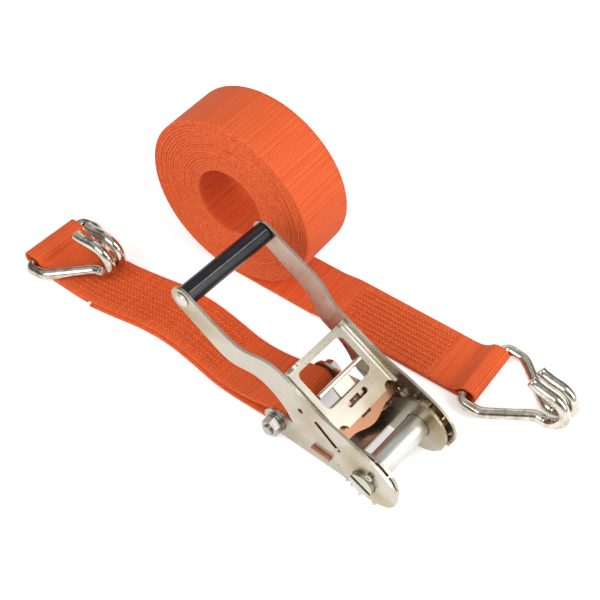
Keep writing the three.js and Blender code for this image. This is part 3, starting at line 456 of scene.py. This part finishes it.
def strap_mesh(name, points, place, sideways, material):
    """Webbing along a path in the X-Z plane.

    place turns the strap's own (x, y, z) into a point of the model, and sideways(point, length)
    says how far the strap is shifted along Y there."""
    section = strap_section()
    rings = []
    uvs = []
    for p, normal, length in path_frames(points):
        shift = sideways(p, length)
        ring = []
        for across, up in section:
            v = Vector((p.x + up * normal.x, across + shift, p.y + up * normal.y))
            ring.append(place(v))
            uvs.append((across, length))
        rings.append(ring)
    vertices, faces = swept(rings)
    return mesh_object(name, vertices, faces, material, uvs=uvs)


STITCH_PITCH = 2.9 * MM
STITCH_SWING = 1.25 * MM
STITCH_STEPS = 6  # points in each zigzag
THREAD_RADIUS = 0.36 * MM
THREAD_SIDES = 5
THREAD_LIFT = (0.35, 0.9)  # in radii: at the holes, and how much more between them
ROW_PHASE = 1.7  # radians from one row's zigzag to the next one's


def zigzag(name, start, end, surface, material):
    """Rows of zigzag stitches. surface(across, along) gives a point on the strap and its normal."""
    vertices = []
    faces = []
    at_holes, between = THREAD_LIFT
    steps = int((end - start) / STITCH_PITCH * STITCH_STEPS)
    for row, middle in enumerate(ROWS):
        points = []
        for i in range(steps + 1):
            along = start + (end - start) * i / steps
            phase = 2 * math.pi * along / STITCH_PITCH + row * ROW_PHASE
            across = middle + STITCH_SWING * math.asin(math.sin(phase)) * 2 / math.pi
            point, normal = surface(across, along)
            lift = THREAD_RADIUS * (at_holes + between * abs(math.cos(phase)))
            points.append(point + normal * lift)
        ring_vertices, ring_faces = swept(tube(points, THREAD_RADIUS, THREAD_SIDES))
        first = len(vertices)
        vertices.extend(ring_vertices)
        faces.extend(tuple(first + v for v in face) for face in ring_faces)
    return mesh_object(name, vertices, faces, material)


# In the paths of both straps, ease and arc take their count of steps after where they go.

# The short strap: its path is the CAD strap's, measured from the spindle's foot.
FIXED_LOOP_AT = FIXED_BAR.x - SPINDLE.x
FLAP_END = -276 * MM  # of the end that comes back round the hook's bar
FLAP_START = -271 * MM  # of the lower layer
JOIN_AT = -150 * MM  # where the two layers part on their way to the sleeve
JOIN_STEP = 4 * MM  # how much nearer the sleeve the lower layer leaves the floor
RISE = 0.42  # slope of the upper layer at the sleeve
LOWER_RISE = 0.16
SWAY_START = -352 * MM
SWAY_END = -96 * MM
SWAY = [y * MM for y in (-10.5, -10.6, -10.2, -8.6, -3.6, 2.2, 4.6, 3.4, 1, 0.1, 0)]
LOWER_SHIFT = -2.2 * MM  # how far the lower layer shows beside the upper one
LOWER_SHIFT_GONE = -95 * MM


def sway(x):
    """Sideways place of the short strap's middle, a smooth line through SWAY."""
    last = len(SWAY) - 1
    t = min(max((x - SWAY_START) / (SWAY_END - SWAY_START), 0), 1) * last
    i = min(int(t), last - 1)
    f = t - i
    a, b, c, d = (SWAY[min(max(i + k, 0), last)] for k in (-1, 0, 1, 2))
    squared = (2 * a - 5 * b + 4 * c - d) * f * f
    cubed = (3 * b - a - 3 * c + d) * f**3
    return 0.5 * (2 * b + (c - a) * f + squared + cubed)


def lower_layer_shift(x):
    """Sideways shift of the short strap's lower layer, gone before it reaches the sleeve."""
    t = min(max((x - JOIN_AT) / (LOWER_SHIFT_GONE - JOIN_AT), 0), 1)
    return LOWER_SHIFT * (1 - t * t * (3 - 2 * t))


def fixed_place(v):
    """A point of the short strap in the model."""
    return Vector((SPINDLE.x + v.x, SPINDLE.y + v.y, v.z))


def fixed_strap(material, stitch_material):
    """The short strap: along the floor, round the sleeve, back on top, and round the hook's bar."""
    bolt = Vector((-BOLT_FROM_SPINDLE, BOLT.z))
    bar = Vector((FIXED_LOOP_AT, FIXED_BAR.z))
    under = math.atan(LOWER_RISE) - math.pi / 2
    sleeve = arc(bolt, SLEEVE_LOOP_RADIUS, under, math.pi / 2 + math.atan(RISE), 30)
    half = Vector((FIXED_LOOP_SLACK / 2, 0))
    eye = arc(bar + half, EYE_RADIUS, math.pi / 2 - EYE_WRAP, math.pi / 2, 8)
    eye += arc(bar - half, EYE_RADIUS, math.pi / 2, 1.5 * math.pi, 20)
    lower_join = Vector((JOIN_AT + JOIN_STEP, LOW))
    upper_join = Vector((JOIN_AT, HIGH))
    closed = Vector((bar.x + EYE_CLOSE, HIGH))
    points = without_repeats(
        ease(Vector((FLAP_START, LOW)), lower_join, 40)
        + ease(lower_join, sleeve[0], 20, 0, LOWER_RISE)
        + sleeve
        + ease(sleeve[-1], upper_join, 20, RISE, 0)
        + ease(upper_join, closed, 60)
        + ease(closed, eye[0], 12, 0, -math.tan(EYE_WRAP))
        + eye
        + ease(Vector((bar.x, LOW)), Vector((FLAP_END, LOW)), 16)
    )
    lower_end = (lower_join.x - FLAP_START) + (sleeve[0] - lower_join).length

    def sideways(p, length):
        return sway(p.x) + (lower_layer_shift(p.x) if length < lower_end else 0.0)

    def top(across, along):
        return fixed_place(Vector((along, across + sway(along), TOP))), Vector((0, 0, 1))

    strap = strap_mesh("fixed_strap_webbing", points, fixed_place, sideways, material)
    stitches = zigzag("fixed_strap_stitches", FIXED_SEWN_FROM, FIXED_SEWN_TO, top, stitch_material)
    for piece in (strap, stitches):
        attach(piece, "fixed_strap")
    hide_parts("fixed_strap")


# The long strap: one band, wound from its inner end, laid out flat and folded round its hook.
ROLL_TURNS = 19
ROLL_STEPS = 64  # points in each turn
ROLL_OVAL = 1.015  # wider than high
ROLL_WAVE = (0.12 * MM, 3.1, 0.7)  # how far a turn strays, waves in a turn, phase
LOOSE_FROM = 150 * MM  # length over which the winding gets uneven
LOOSE = ((0.16, 23, 0), (0.14, 57, 1), (0.12, 9, 2))  # sideways in mm, radians a metre, phase
LONG_ALONG = Vector((math.cos(TAIL_YAW), math.sin(TAIL_YAW), 0))
LONG_ACROSS = Vector((-math.sin(TAIL_YAW), math.cos(TAIL_YAW), 0))
ROLL_FOOT = Vector((LONG_BAR.x, LONG_BAR.y, 0)) - ROLL_FROM_HOOK * LONG_ALONG


def long_place(v):
    """A point of the long strap in the model."""
    return ROLL_FOOT + v.x * LONG_ALONG + v.y * LONG_ACROSS + Vector((0, 0, v.z))


def roll_path():
    """Spiral of the rolled part, from its inner end to where it leaves at the bottom."""
    low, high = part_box("long_strap_roll")
    centre = Vector((0, (low[2] + high[2]) / 2))
    outer = centre.y - STRAP_THICKNESS / 2
    far, waves, phase = ROLL_WAVE
    points = []
    total = ROLL_TURNS * ROLL_STEPS
    for i in range(total + 1):
        turns_left = (total - i) / ROLL_STEPS
        angle = 1.5 * math.pi - 2 * math.pi * turns_left
        radius = outer - STRAP_THICKNESS * turns_left
        wave = far * math.sin(waves * angle + phase) * min(turns_left, 1)
        outwards = Vector((math.cos(angle) * ROLL_OVAL, math.sin(angle)))
        points.append(centre + (radius + wave) * outwards)
    return points


def long_strap(material, stitch_material):
    """The long strap: the roll, the flat tail, its loop round the hook's bar and its folded end."""
    bar = Vector((ROLL_FROM_HOOK, LONG_BAR.z))
    flap = bar.x - TAIL_FLAP
    start = flap - TAIL_RISEN
    half = Vector((TAIL_LOOP_SLACK / 2, 0))
    eye = arc(bar - half, EYE_RADIUS, math.pi / 2 + EYE_WRAP, math.pi / 2, 8)
    eye += arc(bar + half, EYE_RADIUS, math.pi / 2, -math.pi / 2, 20)
    spiral = roll_path()
    leaving = Vector((start - TAIL_RISE, LOW))
    risen = Vector((start, HIGH))
    closed = Vector((bar.x - EYE_CLOSE, HIGH))
    points = without_repeats(
        spiral
        + ease(Vector((0, LOW)), leaving, 24)
        + ease(leaving, risen, 12)
        + ease(risen, closed, 30)
        + ease(closed, eye[0], 12, 0, math.tan(EYE_WRAP))
        + eye
        + ease(Vector((bar.x, LOW)), Vector((flap, LOW)), 30)
    )
    wound = path_length(spiral)

    def sideways(p, length):
        if length >= wound:
            return 0.0
        left = wound - length
        amount = min(left / LOOSE_FROM, 1)
        return amount * MM * sum(far * math.sin(left * rate + phase) for far, rate, phase in LOOSE)

    def top(across, along):
        return long_place(Vector((along, across, TOP))), Vector((0, 0, 1))

    strap = strap_mesh("long_strap_webbing", points, long_place, sideways, material)
    sewn_from, sewn_to = start + TAIL_SEWN_START, closed.x - TAIL_SEWN_END
    stitches = zigzag("long_strap_stitches", sewn_from, sewn_to, top, stitch_material)
    for piece in (strap, stitches):
        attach(piece, "long_strap")
    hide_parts("long_strap_roll", "long_strap_tail")


# ---- hooks ------------------------------------------------------------------------------------
# Lengths from the bar forwards, and from the middle to one side.
HOOK_HALF = 31.3 * MM  # from the middle to the wire beside the strap
HOOK_CORNER = 6 * MM  # size of the bend at the bar's end
HOOK_SHOULDER = 17 * MM  # where the wire turns inwards
SHOULDER_DROP = 3 * MM
HOOK_NECK = 50 * MM  # where it turns forwards again
NECK_BEFORE = 3 * MM
NECK_SPREAD = 2 * MM
HOOK_TURN = 4 * MM  # reach of the bends at the shoulder and the neck
HOOK_LEG = 5.9 * MM  # from the middle to the wire in front of the neck
HOOK_BEND_AT = 55 * MM
HOOK_BEND_RADIUS = 14.5 * MM
HOOK_BEND_STEPS = 24
HOOK_TIP_TURN = 10 * MM
HOOK_TIP_AT = 38 * MM
HOOK_TIP_LIFT = 3 * MM
WIRE_SIDES = 28
WIRE_CHAMFER = 0.6 * MM  # at both tips
FIXED_HOOK_TILT = math.radians(7)
LONG_HOOK_TILT = -math.asin((LONG_BAR.z - WIRE_RADIUS) / HOOK_BEND_AT)  # down to the floor


def hook_half():
    """Half of the wire's middle line, from the bar's middle to a tip."""
    w, leg = HOOK_HALF, HOOK_LEG
    top = 2 * HOOK_BEND_RADIUS

    def at(x, y, z=0.0):
        return Vector((x, y, z))

    def straight(a, b, count):
        return [a.lerp(b, i / count) for i in range(count)]

    def bend(a, b, c, count):
        return [a.lerp(b, i / count).lerp(b.lerp(c, i / count), i / count) for i in range(count)]

    corner = (at(0, w - HOOK_CORNER), at(0, w), at(HOOK_CORNER, w))
    shoulder = (
        at(HOOK_SHOULDER - HOOK_TURN, w),
        at(HOOK_SHOULDER, w),
        at(HOOK_SHOULDER + HOOK_TURN, w - SHOULDER_DROP),
    )
    neck = (
        at(HOOK_NECK - NECK_BEFORE, leg + NECK_SPREAD),
        at(HOOK_NECK, leg),
        at(HOOK_NECK + HOOK_TURN, leg),
    )
    tip = (
        at(HOOK_BEND_AT, leg, top),
        at(HOOK_BEND_AT - HOOK_TIP_TURN, leg, top),
        at(HOOK_TIP_AT, leg, top + HOOK_TIP_LIFT),
    )
    points = straight(at(0, 0), corner[0], 8)
    points += bend(*corner, 8)
    points += straight(corner[2], shoulder[0], 4)
    points += bend(*shoulder, 6)
    points += straight(shoulder[2], neck[0], 10)
    points += bend(*neck, 6)
    points += straight(neck[2], at(HOOK_BEND_AT, leg), 6)
    for i in range(HOOK_BEND_STEPS + 1):
        a = -math.pi / 2 + math.pi * i / HOOK_BEND_STEPS
        ahead = HOOK_BEND_AT + HOOK_BEND_RADIUS * math.cos(a)
        points.append(at(ahead, leg, HOOK_BEND_RADIUS * (1 + math.sin(a))))
    points += bend(*tip, 12)[1:]
    points.append(tip[2])
    return points


def hook(name, node, body, bar, axis, tilt, material):
    """A claw hook of one wire, its bar at bar and along axis, its front raised by tilt."""
    half = hook_half()
    line = [Vector((p.x, -p.y, p.z)) for p in reversed(half)] + half[1:]
    yaw = math.atan2(axis.x, -axis.y)
    turn = Matrix.Rotation(yaw, 3, "Z") @ Matrix.Rotation(-tilt, 3, "Y")
    points = [bar + turn @ p for p in line]
    ends = [(points[0], points[1]), (points[-1], points[-2])]
    caps = [end + (end - inner).normalized() * -WIRE_CHAMFER for end, inner in ends]
    points = [points[0], caps[0]] + points[1:-1] + [caps[1], points[-1]]
    tip = WIRE_RADIUS - WIRE_CHAMFER
    radii = [tip] + [WIRE_RADIUS] * (len(points) - 2) + [tip]
    vertices, faces = swept(tube(points, radii, WIRE_SIDES))
    piece = mesh_object(name, vertices, faces, material)
    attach(piece, body)
    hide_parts(node)


# ---- CAD pieces that stay ---------------------------------------------------------------------
FLAT_ANGLE = math.radians(1.5)  # faces that bend less than this are joined
EDGE_ANGLE = math.radians(38)  # edges that bend more than this are rounded off
EDGE_SEGMENTS = 2
FACE_WEIGHT = 80

PLATING = (  # name, light, dark, roughness, and the tint of the front half
    ("zinc_sheet", (0.52, 0.48, 0.40), (0.36, 0.28, 0.165), (0.20, 0.38), None),
    ("bright_zinc", (0.66, 0.65, 0.61), (0.51, 0.48, 0.41), (0.34, 0.46), None),
    ("dull_zinc", (0.46, 0.45, 0.41), (0.20, 0.18, 0.15), (0.18, 0.34), None),
    ("spring_wire", (0.50, 0.50, 0.52), (0.30, 0.29, 0.28), (0.25, 0.4), None),
    ("yellow_zinc", (0.52, 0.28, 0.18), (0.30, 0.13, 0.06), (0.22, 0.40), None),
    # The feed pawl's plating: its front half is tinted browner.
    ("front_browned_zinc", (0.62, 0.56, 0.46), (0.40, 0.30, 0.19), (0.2, 0.36), (0.26, 0.13, 0.075)),
)
METAL_PARTS = (  # node, how much its edges are rounded off, plating
    ("base_frame", 0.45 * MM, "zinc_sheet"),
    ("handle_frame", 0.45 * MM, "zinc_sheet"),
    ("ratchet_wheel_near", 0.45 * MM, "zinc_sheet"),
    ("ratchet_wheel_far", 0.45 * MM, "zinc_sheet"),
    ("lock_pawl", 0.35 * MM, "yellow_zinc"),
    ("feed_pawl", 0.35 * MM, "front_browned_zinc"),
    ("spindle_half_upper", 0.3 * MM, "bright_zinc"),
    ("spindle_half_lower", 0.3 * MM, "bright_zinc"),
    ("grip_rod", 0.3 * MM, "bright_zinc"),
    ("washer_near", 0.2 * MM, "dull_zinc"),
    ("washer_far", 0.2 * MM, "dull_zinc"),
    ("anchor_bolt", 0.2 * MM, "dull_zinc"),
    ("anchor_nut", 0.2 * MM, "dull_zinc"),
    ("anchor_sleeve", 0.15 * MM, "bright_zinc"),
    ("split_pin_near", 0.15 * MM, "bright_zinc"),
    ("split_pin_far", 0.15 * MM, "bright_zinc"),
)


def crisp(node, width):
    """Flat faces joined, edges rounded off a little, and shading that follows the faces."""
    thing = frame["nodes"][node]
    joined = thing.modifiers.new("faces", "DECIMATE")
    joined.decimate_type = "DISSOLVE"
    joined.angle_limit = FLAT_ANGLE
    bevel = thing.modifiers.new("edges", "BEVEL")
    bevel.width = width
    bevel.segments = EDGE_SEGMENTS
    bevel.limit_method = "ANGLE"
    bevel.angle_limit = EDGE_ANGLE
    bevel.use_clamp_overlap = True
    for polygon in thing.data.polygons:
        polygon.use_smooth = True
    weighted = thing.modifiers.new("shading", "WEIGHTED_NORMAL")
    weighted.keep_sharp = False
    weighted.weight = FACE_WEIGHT


def paint(node, material):
    thing = frame["nodes"][node]
    thing.data.materials.clear()
    thing.data.materials.append(material)


SPRING_FRONT = 31.8 * MM  # its first and last coil, from the spindle's axis
SPRING_REAR = 45.2 * MM
SPRING_TURNS = 6
SPRING_STEPS = 20  # points in each turn
SPRING_SIDES = 10
SPRING_RADIUS = 2.2 * MM
SPRING_WIRE = 0.45 * MM


def coil_spring(node, body, joint, material):
    """Coil between a pawl and its tab."""
    back = Vector(JOINTS[joint]["axis"])
    if back.x > 0:
        back = -back
    side = Vector((0, 1, 0))
    up = back.cross(side)
    line = []
    steps = SPRING_TURNS * SPRING_STEPS
    for i in range(steps + 1):
        angle = 2 * math.pi * SPRING_TURNS * i / steps
        along = SPRING_FRONT + (SPRING_REAR - SPRING_FRONT) * i / steps
        round_axis = SPRING_RADIUS * (math.cos(angle) * side + math.sin(angle) * up)
        line.append(SPINDLE + back * along + round_axis)
    vertices, faces = swept(tube(line, SPRING_WIRE, SPRING_SIDES))
    coil = mesh_object(node + "_coil", vertices, faces, material)
    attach(coil, body)
    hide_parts(node)
    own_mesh(coil)


def metal_parts():
    """Plating for the CAD's steel, and coils in place of its plain springs."""
    plating = {name: plated_steel(name, *values) for name, *values in PLATING}
    for node, width, name in METAL_PARTS:
        crisp(node, width)
        paint(node, plating[name])
    coil_spring("feed_pawl_spring", "handle", "feed_pawl_slide", plating["spring_wire"])
    coil_spring("lock_pawl_spring", "frame", "lock_pawl_slide", plating["spring_wire"])


GRIP_EDGE = 0.4 * MM
RIDGE_ANGLE = math.radians(31)  # of the grip's parting line, from straight up towards the spindle
RIDGE_RADIUS = 0.5 * MM
RIDGE_SIDES = 10
RIDGE_SUNK = 0.2 * MM  # its middle, below the grip's surface
RIDGE_SHORT = 1 * MM  # of the grip's end
RIDGE_STEPS = 20


def grip():
    """The black sleeve, and the thin raised line that its mould left along it, painted grey as a
    highlight.
    """
    crisp("grip_sleeve", GRIP_EDGE)
    paint("grip_sleeve", grip_plastic())
    low, high = (Vector(corner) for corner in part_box("grip_sleeve"))
    middle = (low + high) / 2
    out = Vector((math.sin(RIDGE_ANGLE), 0, math.cos(RIDGE_ANGLE)))
    line_middle = middle + out * ((high.z - low.z) / 2 - RIDGE_SUNK)
    reach = (high.y - low.y) / 2 - RIDGE_SHORT
    shares = [2 * i / RIDGE_STEPS - 1 for i in range(RIDGE_STEPS + 1)]
    line = [line_middle + Vector((0, reach * share, 0)) for share in shares]
    vertices, faces = swept(tube(line, RIDGE_RADIUS, RIDGE_SIDES))
    n = Nodes("grip_ridge_painted_highlight")
    tone = n.noise(n.coordinates(), scale=300, detail=3)
    # Painted highlight: the ridge is coloured grey, far lighter than the black plastic, so a bright
    # line shows along the grip.
    n.into("Base Color", n.ramp(tone, [(0.3, (0.10, 0.10, 0.11)), (0.7, (0.20, 0.20, 0.22))]))
    n.set(Roughness=0.25)
    ridge = mesh_object("grip_ridge_painted_highlight", vertices, faces, n.material)
    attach(ridge, "handle")


# ---- stage ------------------------------------------------------------------------------------
FLOOR_SIZE = 8
FLOOR_LEVEL = -0.4 * MM
FLOOR_GLOW = 0.45
LIGHTS = (  # name, place, what it points at, width and height, power in watts
    ("key", (0.1, -1.1, 1.0), (0, 0, 0), (0.9, 0.8), 11.5),
    ("side", (1.2, 0.3, 0.9), (0, 0, 0), (0.8, 1.2), 14.5),
    ("back", (-0.6, 1.2, 1.0), (0, 0, 0.05), (1.2, 0.7), 3),
)
SKY = (  # height above the horizon, where 1 is straight up, and colour
    (0.12, (0.95, 0.95, 0.95)),
    (0.36, (0.14, 0.14, 0.15)),
    (0.58, (0.14, 0.14, 0.14)),
    (0.82, (0.62, 0.62, 0.62)),
)
SKY_STRENGTH = 0.9


def area_light(name, place, aim, size, power):
    data = bpy.data.lights.new(name, "AREA")
    data.shape = "RECTANGLE"
    data.size, data.size_y = size
    data.energy = power
    light = bpy.data.objects.new(name, data)
    light.location = place
    light.rotation_euler = (Vector(aim) - Vector(place)).to_track_quat("-Z", "Y").to_euler()
    bpy.context.scene.collection.objects.link(light)


def floor_material():
    """White table. The camera, and metal that reflects it, see it a little brighter than it is
    lit, so that only the soft shadows show."""
    n = Nodes("floor")
    tone = n.noise(n.coordinates(), scale=3, detail=2)
    n.into("Base Color", n.ramp(tone, [(0.0, (0.84, 0.84, 0.84)), (1.0, (0.87, 0.87, 0.87))]))
    n.set(Roughness=0.9, Specular_IOR_Level=0.0, Emission_Color=(1, 1, 1, 1))
    rays = n.add("ShaderNodeLightPath").outputs
    seen = n.math("MAXIMUM", rays["Is Camera Ray"], rays["Is Glossy Ray"])
    seen = n.math("MAXIMUM", seen, rays["Is Transmission Ray"])
    n.into("Emission Strength", n.math("MULTIPLY", seen, FLOOR_GLOW))
    return n.material


def studio_world():
    """Pale at table height and overhead, with a darker band between."""
    world = bpy.data.worlds.new("world")
    bpy.context.scene.world = world
    world.use_nodes = True
    tree = world.node_tree
    place = tree.nodes.new("ShaderNodeTexCoord")
    parts = tree.nodes.new("ShaderNodeSeparateXYZ")
    shade = tree.nodes.new("ShaderNodeValToRGB")
    tree.links.new(place.outputs["Generated"], parts.inputs[0])
    tree.links.new(parts.outputs[2], shade.inputs[0])
    set_ramp(shade, SKY)
    background = tree.nodes["Background"]
    tree.links.new(shade.outputs[0], background.inputs["Color"])
    background.inputs["Strength"].default_value = SKY_STRENGTH


def stage():
    bpy.ops.mesh.primitive_plane_add(size=FLOOR_SIZE, location=(0, 0, FLOOR_LEVEL))
    floor = bpy.context.object
    floor.name = "floor"
    floor.data.materials.append(floor_material())
    studio_world()
    for light in LIGHTS:
        area_light(*light)
    bpy.context.scene.view_settings.view_transform = "Standard"


def main():
    add_camera()
    steel = wire_steel()
    stitch = thread()
    metal_parts()
    grip()
    sewn_from, sewn_to = SPINDLE.x + FIXED_SEWN_FROM, SPINDLE.x + FIXED_SEWN_TO
    fixed_strap(webbing("webbing_short", sewn_from, sewn_to), stitch)
    sewn_from, sewn_to = LONG_BAR.x - TAIL_FLAP, LONG_BAR.x - EYE_CLOSE - TAIL_SEWN_END
    long_strap(webbing("webbing_long", sewn_from, sewn_to), stitch)
    fixed_at = (FIXED_BAR, FIXED_AXIS, FIXED_HOOK_TILT)
    hook("fixed_hook_wire", "fixed_hook", "fixed_hook", *fixed_at, steel)
    long_at = (LONG_BAR, LONG_AXIS, LONG_HOOK_TILT)
    hook("long_hook_wire", "long_hook", "long_hook", *long_at, steel)
    stage()


main()
